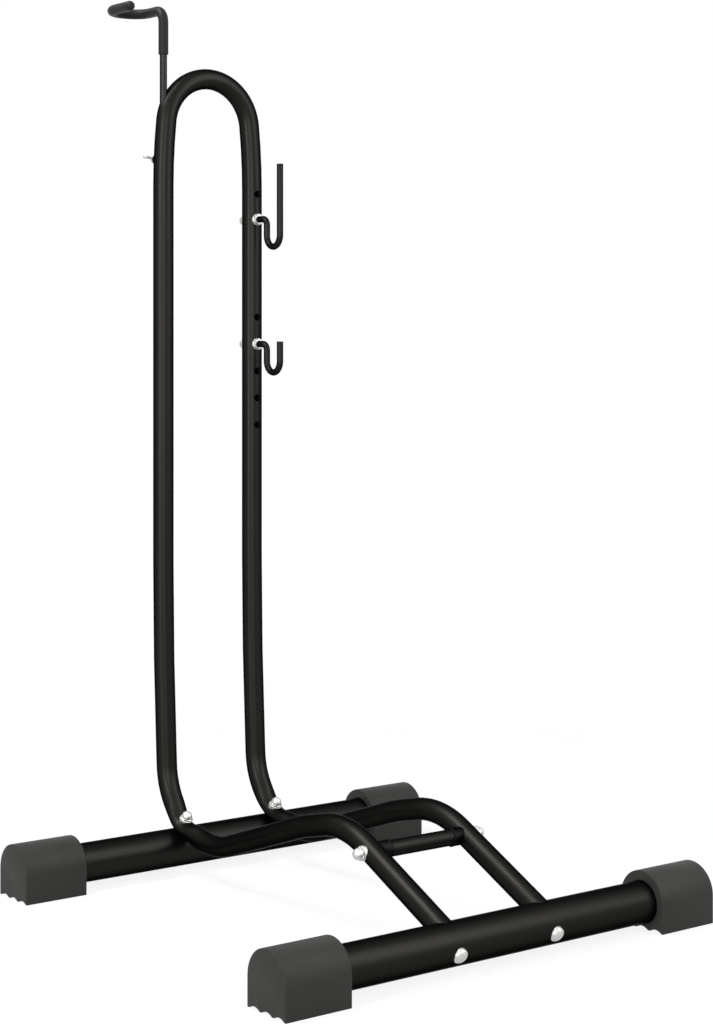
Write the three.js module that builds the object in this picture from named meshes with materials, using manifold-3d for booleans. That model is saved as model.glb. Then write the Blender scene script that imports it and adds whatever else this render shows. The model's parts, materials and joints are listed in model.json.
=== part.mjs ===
// Floor bike rack: one long tube is bent into an upright hoop and two wheel rails,
// and is bolted to two cross-wise base tubes that stand on moulded feet. A hook on a
// telescoping rod and two J hooks are carried by the hoop.
//
// Millimetres, +Z up. The front of the rack, where the wheel rolls in, faces -Y, and
// the base tubes lie along X. While the pieces are made, the rear base tube's axis is
// the line Y = 0. The finished rack is then moved to stand on the middle of its box.

import * as THREE from 'three';
import { mergeVertices } from 'three/addons/utils/BufferGeometryUtils.js';
import Module from 'manifold-3d';

const wasm = await Module();
wasm.setup();

// ---------------------------------------------------------------- driving dimensions

const touchGap = 0.3; // left between two pieces that bear on each other
const threadGap = 0.3; // between a bolt's thread and what it screws into or passes
const tipGap = 0.5; // between a shank's tip and the bottom of its blind hole
const saddleDepth = 1; // a nut's blank sinks this far in a tube, before it is hollowed
const cutPast = 1; // a cutter runs this far past the face that it cuts

// Base tubes and their feet
const baseWidth = 640; // along X, over the feet
const wheelbase = 576; // rear base tube axis to front base tube axis
const baseTubeDiameter = 50.8;
const baseTubeWall = 1.6;
const baseAxisHeight = 32.5;
const footLength = 87;
const footWidth = 73;
const footHeight = 70.4;
const footEndWall = 6;
const soleScallops = 3;
const soleLand = 3; // flat strip left between two scallops
const scallopRise = 3.2;

// The bent frame tube
const frameTubeDiameter = 28;
const frameTubeWall = 1.5;
const legSpacing = 145.4; // between the axes of the two legs, and of the two rails
const archHeight = 1079; // axis of the tube at the very top
const shoulderRadius = 857; // the legs draw in on this long curve below the arch
const shoulderAngle = 6;
const bowHeight = 283; // below this the legs lean forward
const bowRadius = 4150;
const legLean = 3.6;
const saddleAngle = 27.5; // from upright, of the bolt through the rear base tube
const ankleRadius = 86;
const dipRadius = 143.3; // of the wider bend that follows it, under the tyre
const dentDepth = 8; // how far the tube is pressed in under the rear bolt's nut
const dentReach = 34; // how far the pressed part runs each way along the tube
const dentSpread = 0.1; // share by which the pressed tube grows wider
const riseAngle = 18.7;
const crestRadius = 310;
const crestAngle = 12.9;
const crestRun = 30;
const humpRadius = 130;
const railDescent = 24.9;
const railOffset = 11; // rail axis above the front base tube's axis, square to the rail
const railEndSetback = 8; // rail tips end this far behind the front tube's middle

// Bar across the rails
const crossBarAlongRail = 161; // from the front base tube's middle, up along the rail
const crossBarDiameter = 20;
const crossBarWall = 1.5;
const collarDiameter = 23;
const collarSocketDepth = 7;
const collarShoulder = 5; // solid part between the bar's end and the rail

// Bolts and nuts
const boltDiameter = 8;
const boltHeadDiameter = 18.4;
const boltHeadHeight = 4.6;
const boltHeadSkirt = 1.2; // straight rim under the dome
const boltHeadSink = 4; // a head's blank reaches this far under its seat
const acornAcrossFlats = 15;
const acornHexHeight = 5;
const acornDomeDiameter = 14.4;
const acornDomeHeight = 8.6;
const acornThreadDepth = 8.5;
const acornChamfer = 2.6; // height of the chamfer on the hexagon's corners
const frontBoltDrop = 17; // head's centre below the front tube's axis, in degrees
const railPlugLength = 22;
const railPlugSetback = 28; // from the front tube's middle, along the rail

// Telescoping hook at the top of the left leg
const hookRodDiameter = 10;
const hookRise = 89.5; // axis of the hook's arms above the axis of the arch's top
const hookElbowRadius = 16.6;
const hookSpan = 55; // between the hook's two arms
const hookDepth = 61.5; // from the rod's axis to the back of the hook
const hookCornerRadius = 25;
const hookTipReach = 3.5; // the free arm ends this far in front of the rod's axis
const sleeveDiameter = 13.6;
const sleeveDrop = 61; // the sleeve's lower end below the axis of the arms
const hookLift = 100; // how far the rod can be drawn out
const rodEntryClearance = 0.4;
const guideLength = 16;
const guideFloor = 3;
const clampHeight = 965;
const clampBossDiameter = 15.5;
const clampBossLength = 3.4; // beyond the back of the leg
const wingHubDiameter = 12;
const wingHubLength = 8;
const wingSpan = 36;
const wingHeight = 12;
const wingThickness = 2.8;
const wingTurn = 16; // degrees from level

// J hooks on the right leg
const jRodDiameter = 9;
const jElbowRadius = 9.5;
const jUpperHeight = 886.5;
const jLowerHeight = 712;
const jDownArmReach = 37.6; // from the leg's axis to the first arm
const jArmSpacing = 32;
const jDrop = 39.4; // from the rod's axis to the axis of the bottom of the U
const jUpperArmRise = 74.5; // free arm's tip above the rod's axis
const jLowerArmRise = 3.6;
const jNutAcrossFlats = 14;
const jNutHeight = 5;
const jCapDepth = 7;
const jNutChamfer = 1;
const legHoleDiameter = 10;
const legHolePitch = 37.7;
const lowerHoleRow = [-3, -2, -1, 0, 1]; // steps of the pitch from the lower hook
const upperHoleRow = [0, 0.94]; // the same from the upper hook

// Facets
const frameSides = 20;
const boreSides = 12;
const baseSides = 32;
const rodSides = 12;
const sleeveSides = 14;
const holeSides = 12;
const bendSag = 0.35; // how far a bend's chords stand off its arc
const ankleSag = 0.08; // the same where the tube is pressed in

// ---------------------------------------------------------------- materials

const powderCoat = { color: 0x1b1b1c, roughness: 0.42, metalness: 0.1 };
const moulding = { color: 0x3c3c3b, roughness: 0.7, metalness: 0 };
const zinc = { color: 0xc9c9c6, roughness: 0.3, metalness: 0.9 };
const blackRubber = { color: 0x242425, roughness: 0.75, metalness: 0 };
const nylon = { color: 0x1e1f22, roughness: 0.6, metalness: 0 };

// ---------------------------------------------------------------- small tools

const X = new THREE.Vector3(1, 0, 0);
const Y = new THREE.Vector3(0, 1, 0);
const Z = new THREE.Vector3(0, 0, 1);
const minus = (v) => v.clone().negate();
const radians = THREE.MathUtils.degToRad;
const at = (x, y, z) => new THREE.Vector3(x, y, z);

// A closed three.js geometry as a solid that can be joined and cut.
function solid(geometry, frame = new THREE.Matrix4()) {
  const shape = geometry.clone().applyMatrix4(frame);
  shape.deleteAttribute('normal');
  shape.deleteAttribute('uv');
  const merged = mergeVertices(shape, 1e-4);
  const corners = merged.index.array;
  const triangles = [];
  for (let i = 0; i < corners.length; i += 3) {
    const [a, b, c] = [corners[i], corners[i + 1], corners[i + 2]];
    if (a !== b && b !== c && c !== a) triangles.push(a, b, c);
  }
  return new wasm.Manifold(new wasm.Mesh({
    numProp: 3,
    vertProperties: new Float32Array(merged.attributes.position.array),
    triVerts: new Uint32Array(triangles),
  }));
}

// A frame whose +Z points along axis and whose +X lies as near to side as it can.
function seat(origin, axis, side) {
  const z = axis.clone().normalize();
  const x = side.clone().addScaledVector(z, -side.dot(z)).normalize();
  return new THREE.Matrix4().makeBasis(x, z.clone().cross(x), z).setPosition(origin);
}

// A round bar from low to high along +Z of its frame.
function bar(radius, low, high, frame, sides = holeSides) {
  const cylinder = new THREE.CylinderGeometry(radius, radius, high - low, sides);
  cylinder.rotateX(Math.PI / 2).translate(0, 0, (low + high) / 2);
  return solid(cylinder, frame);
}

// A bore that a round bar of this radius passes through, whatever its facets.
function bore(radius, low, high, frame, sides = holeSides) {
  return bar(radius / Math.cos(Math.PI / sides), low, high, frame, sides);
}

// A turned piece: the profile's points are [radius, height] along +Z of its frame.
function turned(profile, frame, sides = 20) {
  const points = profile.map(([radius, height]) => new THREE.Vector2(radius, height));
  return solid(new THREE.LatheGeometry(points, sides).rotateX(Math.PI / 2), frame);
}

// A hexagonal prism from low to high along +Z of its frame.
function hexagon(acrossFlats, low, high, frame) {
  return bar(acrossFlats / 2 / Math.cos(Math.PI / 6), low, high, frame, 6);
}

// Points of a spherical dome from its rim up to its top on the axis.
function dome(rimRadius, rimHeight, height, steps = 4) {
  const radius = (rimRadius ** 2 + height ** 2) / (2 * height);
  const half = Math.asin(Math.min(1, rimRadius / radius));
  const sweep = height > radius ? Math.PI - half : half;
  const points = [];
  for (let i = 0; i <= steps; i++) {
    const angle = sweep * (1 - i / steps);
    const across = i === steps ? 0 : radius * Math.sin(angle);
    points.push([across, rimHeight + height - radius + radius * Math.cos(angle)]);
  }
  return points;
}

// ---------------------------------------------------------------- tube bending

// The route of a bent tube, made as a bender makes it: straights and bends in turn.
// Its stations, not equal lengths, are the steps that a section is swept through.
class TubeRun extends THREE.Curve {
  constructor(stations) {
    super();
    this.stations = stations;
  }

  static from(point, heading) {
    return new TubeRun([{ point: point.clone(), heading: heading.clone().normalize() }]);
  }

  get end() {
    return this.stations[this.stations.length - 1];
  }

  straight(length) {
    const { point, heading } = this.end;
    this.stations.push({ point: point.clone().addScaledVector(heading, length), heading });
    return this;
  }

  bend(radius, degrees, axis, sag = bendSag) {
    const { point, heading } = this.end;
    const inward = axis.clone().cross(heading).multiplyScalar(Math.sign(degrees));
    const centre = point.clone().addScaledVector(inward, radius);
    const step = 2 * Math.acos(1 - sag / radius);
    const steps = Math.ceil(Math.abs(radians(degrees)) / step);
    for (let i = 1; i <= steps; i++) {
      const turn = radians(degrees) * (i / steps);
      this.stations.push({
        point: point.clone().sub(centre).applyAxisAngle(axis, turn).add(centre),
        heading: heading.clone().applyAxisAngle(axis, turn),
      });
    }
    return this;
  }

  reversed() {
    return new TubeRun([...this.stations].reverse().map(({ point, heading }) => (
      { point, heading: minus(heading) })));
  }

  mirrored() {
    const flip = (v) => at(-v.x, v.y, v.z);
    return new TubeRun(this.stations.map(({ point, heading }) => (
      { point: flip(point), heading: flip(heading) })));
  }

  followedBy(next) {
    return new TubeRun([...this.stations, ...next.stations.slice(1)]);
  }

  // The stations are spread evenly over t, so a sweep of steps steps stops at each.
  get steps() {
    return this.stations.length - 1;
  }

  getPoint(t, target = new THREE.Vector3()) {
    const place = t * this.steps;
    const index = Math.min(Math.floor(place + 1e-6), this.steps - 1);
    const [from, to] = [this.stations[index], this.stations[index + 1]];
    return target.lerpVectors(from.point, to.point, place - index);
  }

  getPointAt(u, target) {
    return this.getPoint(u, target);
  }

  getTangentAt(u, target = new THREE.Vector3()) {
    return target.copy(this.stations[Math.round(u * this.steps)].heading);
  }
}

// A round section swept along a run.
function sweep(run, radius, sides) {
  const section = new THREE.Shape().absarc(0, 0, radius, 0, 2 * Math.PI);
  return solid(new THREE.ExtrudeGeometry(section, {
    curveSegments: sides / 2,
    steps: run.steps,
    extrudePath: run,
  }));
}

// The same, wide enough to be a bore for a round bar of this radius.
function sweptBore(run, radius, sides) {
  return sweep(run, radius / Math.cos(Math.PI / sides), sides);
}

// ---------------------------------------------------------------- places

const baseRadius = baseTubeDiameter / 2;
const frameRadius = frameTubeDiameter / 2;
const frameBore = frameRadius - frameTubeWall;
const boltRadius = boltDiameter / 2;
const boltHole = boltRadius + threadGap;
const railX = legSpacing / 2;
const rearAxis = at(0, 0, baseAxisHeight);
const frontAxis = at(0, -wheelbase, baseAxisHeight);

// Direction with a slope in the Y-Z plane: forward is towards -Y.
const forward = (slope) => at(0, -Math.cos(radians(slope)), Math.sin(radians(slope)));

// The frame tube crosses the rear base tube at the saddle, square to the bolt.
const saddleUp = at(0, -Math.sin(radians(saddleAngle)), Math.cos(radians(saddleAngle)));
const saddleReach = baseRadius + touchGap + frameRadius;
const saddle = at(railX, 0, 0).add(rearAxis).addScaledVector(saddleUp, saddleReach);

// From the saddle to the front, for a given straight between the dip and the crest.
function railRun(riseLength) {
  return TubeRun.from(saddle, forward(-saddleAngle))
    .bend(dipRadius, saddleAngle + riseAngle, minus(X), ankleSag)
    .straight(riseLength)
    .bend(crestRadius, crestAngle - riseAngle, minus(X))
    .straight(crestRun)
    .bend(humpRadius, -crestAngle - railDescent, minus(X));
}

// That straight is as long as it takes for the rail to meet the front base tube.
const railHeading = forward(-railDescent);
const railUp = at(0, railHeading.z, -railHeading.y);
const shortOffset = railRun(0).end.point.clone().sub(frontAxis).dot(railUp);
const riseLength = (railOffset - shortOffset) / Math.sin(radians(riseAngle + railDescent));
const rail = railRun(riseLength);
const railMiddle = at(railX, 0, 0).add(frontAxis).addScaledVector(railUp, railOffset);
rail.straight(rail.end.point.distanceTo(railMiddle) - railEndSetback);
const onRail = (distance) => railMiddle.clone().addScaledVector(railHeading, -distance);

// From the saddle up the leg to the middle of the arch.
const archRadius = shoulderRadius
  - (shoulderRadius - railX) / Math.cos(radians(shoulderAngle));
const shoulderStart = archHeight - archRadius
  - (shoulderRadius - archRadius) * Math.sin(radians(shoulderAngle));
const leg = TubeRun.from(saddle, minus(forward(-saddleAngle)))
  .bend(ankleRadius, 90 - legLean - saddleAngle, X, ankleSag);
const bowStart = bowHeight - bowRadius * Math.tan(radians(legLean / 2));
leg.straight((bowStart - leg.end.point.z) / Math.cos(radians(legLean)))
  .bend(bowRadius, legLean, X);
const legY = leg.end.point.y;
leg.straight(shoulderStart - leg.end.point.z)
  .bend(shoulderRadius, shoulderAngle, minus(Y))
  .bend(archRadius, 90 - shoulderAngle, minus(Y));

const rightHalf = rail.reversed().followedBy(leg);
const frameRun = rightHalf.followedBy(rightHalf.mirrored().reversed());

// Presses a solid that follows the frame tube in at both ankles, as the tube is, so that
// the cap nut sits low. The side on the base tube keeps its shape.
function pressed(shape) {
  const along = forward(-saddleAngle);
  return shape.warp((vertex) => {
    const side = Math.sign(vertex[0]);
    const place = at(Math.abs(vertex[0]), vertex[1], vertex[2]).sub(saddle);
    const distance = place.dot(along);
    const bendRadius = distance < 0 ? ankleRadius : dipRadius;
    const height = place.dot(saddleUp) - distance ** 2 / (2 * bendRadius);
    const beyond = Math.max(Math.abs(distance) / dentReach,
      Math.max(Math.abs(place.x), Math.abs(height)) / (1.5 * frameRadius));
    if (beyond >= 1) return;
    const fade = Math.cos((Math.PI / 2) * (distance / dentReach)) ** 2;
    const share = THREE.MathUtils.clamp((height + frameBore) / (2 * frameBore), 0, 1);
    vertex[0] += side * place.x * dentSpread * fade;
    vertex[1] -= saddleUp.y * dentDepth * fade * share;
    vertex[2] -= saddleUp.z * dentDepth * fade * share;
  });
}

const aroundFrame = pressed(sweep(frameRun, frameRadius + touchGap, frameSides));
const aroundBase = (axis) => (
  bar(baseRadius + touchGap, -baseWidth / 2, baseWidth / 2, seat(axis, X, Y), baseSides));

const sides = { left: -1, right: 1 };
const legTop = (side, height) => at(side * railX, legY, height);

// ---------------------------------------------------------------- places of bolts

const rearBoltFrame = (side) => seat(at(side * railX, 0, 0).add(rearAxis), saddleUp, X);

// The front bolts slope up from the tube's face to the middle of the plugs in the rails.
const frontBoltSeat = at(railX, 0, 0).add(frontAxis)
  .addScaledVector(forward(-frontBoltDrop), baseRadius);
const frontBoltAxis = frontBoltSeat.clone().sub(onRail(railPlugSetback + railPlugLength / 2));
const frontBoltLength = frontBoltAxis.length() + railPlugLength / 2;
const frontBoltFrame = (side) => (
  seat(at(side * railX, frontBoltSeat.y, frontBoltSeat.z), frontBoltAxis, X));

const crossAxis = onRail(crossBarAlongRail);
const crossFrame = seat(at(0, crossAxis.y, crossAxis.z), X, Y);

const clampFrame = seat(legTop(sides.left, clampHeight), Y, X);
const rodX = sides.left * railX;
const hookArmHeight = archHeight + hookRise;

const jPlaces = [
  { name: 'upper', height: jUpperHeight, rise: jUpperArmRise, row: upperHoleRow },
  { name: 'lower', height: jLowerHeight, rise: jLowerArmRise, row: lowerHoleRow },
];
const jFrame = (height) => seat(legTop(sides.right, height), Y, X);

// ---------------------------------------------------------------- pieces

const rack = new THREE.Group();

// Adds a piece whose geometry is kept in its own frame, and placed by that frame.
function add(name, body, finish, frame = new THREE.Matrix4()) {
  const mesh = body.getMesh();
  const geometry = new THREE.BufferGeometry();
  geometry.setAttribute('position', new THREE.BufferAttribute(mesh.vertProperties, 3));
  geometry.setIndex(new THREE.BufferAttribute(mesh.triVerts, 1));
  geometry.applyMatrix4(frame.clone().invert());
  geometry.computeVertexNormals();
  const piece = new THREE.Mesh(geometry, new THREE.MeshStandardMaterial(finish));
  piece.name = name;
  piece.applyMatrix4(frame);
  rack.add(piece);
}

function frameTube() {
  // The bore runs on past both cut ends.
  const past = new TubeRun([...frameRun.stations]).straight(frameRadius).reversed()
    .straight(frameRadius);
  let tube = pressed(sweep(frameRun, frameRadius, frameSides)
    .subtract(sweptBore(past, frameBore, boreSides)))
    .subtract(aroundBase(frontAxis));
  const through = frameRadius * 1.5;
  for (const side of Object.values(sides)) {
    const atSaddle = rearBoltFrame(side);
    const atCross = seat(at(side * railX, crossAxis.y, crossAxis.z), X, Y);
    tube = tube
      .subtract(bore(boltHole, 0, saddleReach + through, atSaddle))
      .subtract(bore(boltHole, -through, through, atCross));
  }
  for (const { height, row } of jPlaces) {
    for (const step of row) {
      const hole = jFrame(height + step * legHolePitch);
      tube = tube.subtract(bore(legHoleDiameter / 2, -through, through, hole));
    }
  }
  const entry = seat(legTop(sides.left, clampHeight), Z, X);
  return tube
    .subtract(bore(boltHole, 0, through, clampFrame))
    .subtract(bore(hookRodDiameter / 2 + rodEntryClearance, 0, archHeight - clampHeight, entry));
}

function baseTube(axis, boltFrames) {
  const half = baseWidth / 2 - footEndWall - touchGap;
  const frame = seat(axis, X, Y);
  let tube = bar(baseRadius, -half, half, frame, baseSides)
    .subtract(bar(baseRadius - baseTubeWall, -half - cutPast, half + cutPast, frame, baseSides));
  for (const boltFrame of boltFrames) {
    const reach = baseTubeDiameter * 1.2;
    tube = tube.subtract(bore(boltHole, -reach, reach, boltFrame));
  }
  return tube;
}

// Side outline of a foot: a round back over straight flanks and a scalloped sole.
function footOutline() {
  const half = footWidth / 2;
  const chord = (footWidth - soleLand * (soleScallops + 1)) / soleScallops;
  const radius = (chord ** 2 / 4 + scallopRise ** 2) / (2 * scallopRise);
  const spread = Math.asin(chord / 2 / radius);
  const outline = new THREE.Shape();
  outline.moveTo(half, 0);
  outline.lineTo(half, footHeight - half);
  outline.absarc(0, footHeight - half, half, 0, Math.PI, false);
  outline.lineTo(-half, 0);
  for (let i = 0; i < soleScallops; i++) {
    const middle = -half + soleLand + chord / 2 + i * (chord + soleLand);
    const start = Math.PI / 2 + spread;
    outline.absarc(middle, scallopRise - radius, radius, start, Math.PI - start, true);
  }
  return outline;
}

// A foot in its own frame: +Z runs from its closed end towards the tube that it holds.
function foot() {
  const block = new THREE.ExtrudeGeometry(footOutline(), {
    depth: footLength,
    bevelEnabled: false,
    curveSegments: 8,
  });
  const tubeFrame = new THREE.Matrix4().makeTranslation(0, baseAxisHeight, 0);
  const fit = baseRadius + touchGap;
  return solid(block).subtract(bore(fit, footEndWall, footLength + cutPast, tubeFrame, baseSides));
}

function acornNut(frame, low = 0) {
  const hexTop = low + acornHexHeight;
  const blank = turned([[0, low], [acornAcrossFlats, low],
    [acornAcrossFlats, hexTop - acornChamfer], [acornDomeDiameter / 2 + touchGap, hexTop],
    [0, hexTop]], frame, 12);
  const cap = turned([[0, low], [acornDomeDiameter / 2, low],
    ...dome(acornDomeDiameter / 2, hexTop, acornDomeHeight)], frame, 12);
  return hexagon(acornAcrossFlats, low, hexTop, frame).intersect(blank).add(cap);
}

// Round-headed bolt whose head rises along +Z of its frame and whose shank runs back.
function domeBolt(length, frame) {
  const rim = boltHeadDiameter / 2;
  const head = turned([[0, -boltHeadSink], [rim, -boltHeadSink], [rim, boltHeadSkirt],
    ...dome(rim, boltHeadSkirt, boltHeadHeight)], frame, 16);
  return { head, shank: bar(boltRadius, -length, 0, frame) };
}

function hookRun(start) {
  return TubeRun.from(start, Z)
    .straight(hookArmHeight - hookElbowRadius - start.z)
    .bend(hookElbowRadius, 90, minus(X))
    .straight(hookDepth - hookElbowRadius - hookCornerRadius)
    .bend(hookCornerRadius, 90, Z)
    .straight(hookSpan - 2 * hookCornerRadius)
    .bend(hookCornerRadius, 90, Z)
    .straight(hookDepth - hookCornerRadius + hookTipReach);
}

function hookSleeve() {
  const run = hookRun(at(rodX, legY, hookArmHeight - sleeveDrop));
  const tip = new THREE.SphereGeometry(sleeveDiameter / 2, sleeveSides, sleeveSides / 2);
  const start = run.stations[0].point.clone().addScaledVector(Z, -1);
  return sweep(run, sleeveDiameter / 2, sleeveSides)
    .add(solid(tip.rotateX(Math.PI / 2).rotateY(Math.PI / 2), seat(run.end.point, minus(Y), X)))
    .subtract(sweptBore(hookRun(start), hookRodDiameter / 2 + touchGap, rodSides));
}

// The guide that centres the rod's lower end in the leg: a cup with a floor. Drawn all
// the way up, it stays in the straight part of the leg and under the clamp's bolt.
const guideCeiling = Math.min(shoulderStart, clampHeight - boltRadius - touchGap);
const guideTop = guideCeiling - hookLift;
const guideFrame = seat(at(rodX, legY, guideTop), Z, X);
const rodBottom = guideTop - guideLength + guideFloor + touchGap;

function rodGuide() {
  return bar(frameBore - touchGap, -guideLength, 0, guideFrame, 20)
    .subtract(bore(hookRodDiameter / 2 + 0.1, guideFloor - guideLength, 1, guideFrame, rodSides));
}

function wingBolt() {
  const hubStart = frameRadius + clampBossLength + touchGap;
  const tip = hookRodDiameter / 2 + touchGap;
  const hub = wingHubDiameter / 2;
  const body = turned([[0, tip], [boltRadius, tip], [boltRadius, hubStart], [hub, hubStart],
    [hub, hubStart + wingHubLength * 0.7], [hub * 0.7, hubStart + wingHubLength],
    [0, hubStart + wingHubLength]], clampFrame, 16);
  const half = wingSpan / 2;
  const ear = wingHeight / 2;
  const outline = new THREE.Shape();
  outline.moveTo(0, 0);
  outline.lineTo(hub, 0.5);
  outline.quadraticCurveTo(half - ear, 1, half, ear);
  outline.absarc(half - ear * 0.8, wingHeight - ear, ear * 0.8, 0, Math.PI, false);
  outline.quadraticCurveTo(hub, wingHubLength, 0, wingHubLength * 0.9);
  const wing = new THREE.ExtrudeGeometry(outline, {
    depth: wingThickness,
    bevelEnabled: false,
    curveSegments: 5,
  });
  wing.translate(0, 0, -wingThickness / 2).rotateX(Math.PI / 2).translate(0, 0, hubStart);
  const turn = new THREE.Matrix4().makeRotationZ(radians(wingTurn));
  const back = new THREE.Matrix4().makeRotationZ(radians(wingTurn + 180));
  return body
    .add(solid(wing, clampFrame.clone().multiply(turn)))
    .add(solid(wing, clampFrame.clone().multiply(back)));
}

function clampBoss() {
  const end = frameRadius + clampBossLength;
  return bar(clampBossDiameter / 2, frameRadius / 2, end, clampFrame, 20)
    .subtract(aroundFrame)
    .subtract(bore(boltHole, 0, end + cutPast, clampFrame));
}

function jHookRun(height, rise) {
  const lead = jDownArmReach - jElbowRadius;
  const start = legTop(sides.right, height).addScaledVector(Y, frameRadius + jCapDepth);
  return TubeRun.from(start, minus(Y))
    .straight(frameRadius + jCapDepth + lead)
    .bend(jElbowRadius, 90, X)
    .straight(jDrop - jElbowRadius - jArmSpacing / 2)
    .bend(jArmSpacing / 2, 180, minus(X))
    .straight(jDrop - jArmSpacing / 2 + rise);
}

// A blind cap nut on the threaded end of a J hook, behind the leg.
function jCapNut(height) {
  const frame = jFrame(height);
  const low = frameRadius - saddleDepth;
  return acornNut(frame, low)
    .subtract(aroundFrame)
    .subtract(bore(jRodDiameter / 2 + threadGap, 0, frameRadius + jCapDepth + tipGap, frame));
}

// A plain nut that locks the J hook against the front of the leg.
function jLockNut(height) {
  const frame = jFrame(height);
  const high = -frameRadius + saddleDepth;
  const low = -frameRadius - jNutHeight;
  const corner = jNutAcrossFlats / 2 / Math.cos(Math.PI / 6);
  const blank = turned([[0, low], [corner - jNutChamfer, low], [corner, low + jNutChamfer],
    [corner, high], [0, high]], frame, 24);
  return hexagon(jNutAcrossFlats, low, high, frame)
    .intersect(blank)
    .subtract(aroundFrame)
    .subtract(bore(jRodDiameter / 2 + threadGap, low - cutPast, 0, frame));
}

// The round foot of a fastener bears on a tube, so it is hollowed to the tube's curve.
function crossCollar(side) {
  const face = railX - frameRadius;
  const start = face - collarShoulder - collarSocketDepth;
  const socket = crossBarDiameter / 2 + touchGap;
  const frame = seat(at(0, crossAxis.y, crossAxis.z), X.clone().multiplyScalar(side), Y);
  return bar(collarDiameter / 2, start, railX, frame, 20)
    .subtract(aroundFrame)
    .subtract(bore(socket, start - cutPast, face - collarShoulder, frame, 20))
    .subtract(bore(boltHole, start, railX, frame));
}

function crossBar() {
  const half = railX - frameRadius - collarShoulder - touchGap;
  return bar(crossBarDiameter / 2, -half, half, crossFrame, 20)
    .subtract(bar(crossBarDiameter / 2 - crossBarWall, -half - cutPast, half + cutPast, crossFrame, 16));
}

const railPlugStart = onRail(railPlugSetback);
const railPlugFrame = (side) => (
  seat(at(side * railX, railPlugStart.y, railPlugStart.z), minus(railHeading), X));

function railPlug(side) {
  return bar(frameBore - touchGap, 0, railPlugLength, railPlugFrame(side), 20)
    .subtract(bore(boltHole, -frontBoltLength * 1.5, 0, frontBoltFrame(side)));
}

// ---------------------------------------------------------------- assembly

add('upright_frame', frameTube(), powderCoat);

const bothSides = Object.values(sides);
add('rear_base_tube', baseTube(rearAxis, bothSides.map(rearBoltFrame)), powderCoat,
  seat(rearAxis, X, Y));
add('front_base_tube', baseTube(frontAxis, bothSides.map(frontBoltFrame)), powderCoat,
  seat(frontAxis, X, Y));

for (const [sideName, side] of Object.entries(sides)) {
  for (const [rowName, axis] of [['rear', rearAxis], ['front', frontAxis]]) {
    const inward = X.clone().multiplyScalar(-side);
    const place = at(side * baseWidth / 2, axis.y, 0);
    const frame = new THREE.Matrix4().makeBasis(Z.clone().cross(inward), Z, inward)
      .setPosition(place);
    const body = foot().transform(frame.elements);
    add(`foot_${rowName}_${sideName}`, body, moulding, frame);
  }

  // Bolt up through the rear base tube and the frame tube, with a cap nut on top.
  const rearFrame = rearBoltFrame(side);
  const nutBase = saddleReach + frameRadius - dentDepth;
  const tipAt = nutBase + acornThreadDepth;
  const headFrame = seat(at(side * railX, 0, 0).add(rearAxis)
    .addScaledVector(saddleUp, -baseRadius), minus(saddleUp), X);
  const rearBolt = domeBolt(baseRadius + tipAt - tipGap, headFrame);
  add(`rear_bolt_${sideName}`,
    rearBolt.head.subtract(aroundBase(rearAxis)).add(rearBolt.shank), zinc, headFrame);
  add(`rear_cap_nut_${sideName}`, acornNut(rearFrame, nutBase - saddleDepth)
    .subtract(aroundFrame)
    .subtract(bore(boltHole, 0, tipAt, rearFrame)), zinc, rearFrame);

  // Bolt through the front base tube into the plug in the rail's end.
  const frontFrame = frontBoltFrame(side);
  const frontBolt = domeBolt(frontBoltLength, frontFrame);
  add(`front_bolt_${sideName}`,
    frontBolt.head.subtract(aroundBase(frontAxis)).add(frontBolt.shank), zinc, frontFrame);
  add(`rail_plug_${sideName}`, railPlug(side), nylon, railPlugFrame(side));

  // Spacer collar and cap nut at each end of the cross bar.
  const outFrame = seat(at(0, crossAxis.y, crossAxis.z), X.clone().multiplyScalar(side), Y);
  add(`cross_collar_${sideName}`, crossCollar(side), nylon, outFrame);
  add(`cross_cap_nut_${sideName}`, acornNut(outFrame, railX + frameRadius - saddleDepth)
    .subtract(aroundFrame)
    .subtract(bore(boltHole, 0, railX + frameRadius + acornThreadDepth, outFrame)),
  zinc, outFrame);
}

const rodHalf = railX + frameRadius + acornThreadDepth - tipGap;
add('cross_bar', crossBar(), powderCoat, crossFrame);
add('cross_rod', bar(boltRadius, -rodHalf, rodHalf, crossFrame), zinc, crossFrame);

const rodFrame = seat(at(rodX, legY, rodBottom), Z, X);
add('hook_rod', sweep(hookRun(at(rodX, legY, rodBottom)), hookRodDiameter / 2, rodSides),
  powderCoat, rodFrame);
add('hook_sleeve', hookSleeve(), blackRubber, rodFrame);
add('rod_guide', rodGuide(), nylon, guideFrame);
add('clamp_boss', clampBoss(), powderCoat, clampFrame);
add('wing_bolt', wingBolt(), zinc, clampFrame);

for (const { name, height, rise } of jPlaces) {
  const frame = jFrame(height);
  add(`${name}_j_hook`, sweep(jHookRun(height, rise), jRodDiameter / 2, rodSides),
    powderCoat, frame);
  add(`${name}_hook_lock_nut`, jLockNut(height), zinc, frame);
  add(`${name}_hook_cap_nut`, jCapNut(height), zinc, frame);
}

// The rack stands on the middle of its box.
const box = new THREE.Box3().setFromObject(rack, true);
const middle = box.getCenter(new THREE.Vector3());
rack.position.set(-middle.x, -middle.y, -box.min.z);

export default rack;
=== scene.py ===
# %% [markdown]
# # A floor bike rack, piece by piece
#
# The rack is one long steel tube, bent into an upright hoop with two wheel rails, and
# bolted to two thicker tubes that lie on the floor. Everything on it was made by simple
# machines: tube was bent, drilled and cut to fit round other tube, bolts and nuts were
# turned, and the feet were moulded. This notebook copies those machines with bmesh
# operators, one short cell at a time, and then gives each piece its finish.
#
# The frame comes first. It holds the rack's solids at their true size, in metres, with
# +Z up and the front of the rack towards -Y. The box round those solids is kept, so
# that the finished model can be compared with it at the end.

import json
import math

import bmesh
import bpy
from mathutils import Matrix, Vector

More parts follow.
